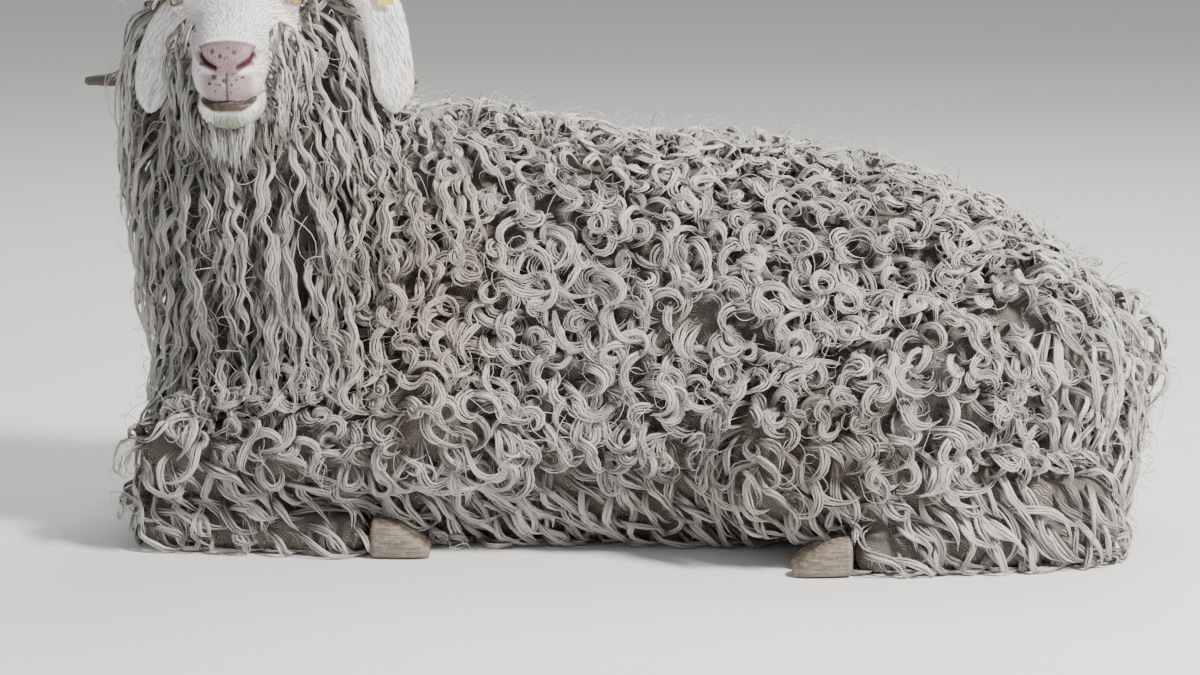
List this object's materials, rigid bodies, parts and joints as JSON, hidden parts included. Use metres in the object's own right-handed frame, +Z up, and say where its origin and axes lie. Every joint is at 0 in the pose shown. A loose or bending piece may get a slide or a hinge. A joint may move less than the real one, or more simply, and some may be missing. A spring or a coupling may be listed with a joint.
{
  "type": "angora goat",
  "caption": "Life-size angora goat lying with folded legs and its head turned to its left, in a long curly mohair fleece, with back-swept horns and lop ears.",
  "frame": {"origin": "middle of the flat under the belly, on the floor", "axes": "the body faces -X, the head looks along -Y to the goat's left, +Z is up"},
  "size_m": [1.0376, 0.5177, 0.6089],
  "materials": {
    "fleece": "long curled mohair",
    "short_hair": "short smooth white hair",
    "horn": "ridged horn",
    "hoof": "dull horn",
    "eye": "wet",
    "tag": "blank moulded tag"
  },
  "bodies": {
    "root": {"torso": "fleece", "neck": "fleece", "head": "fleece", "tail": "fleece", "foreleg_left": "fleece", "foreleg_right": "fleece", "hindleg_left": "fleece", "hindleg_right": "fleece", "ear_left": "short_hair", "ear_right": "short_hair", "eye_left": "eye", "eye_right": "eye", "horn_left": "horn", "horn_right": "horn", "fore_hoof_left": "hoof", "fore_hoof_right": "hoof", "hind_hoof_left": "hoof", "hind_hoof_right": "hoof", "ear_tag": "tag"}
  },
  "joints": []
}
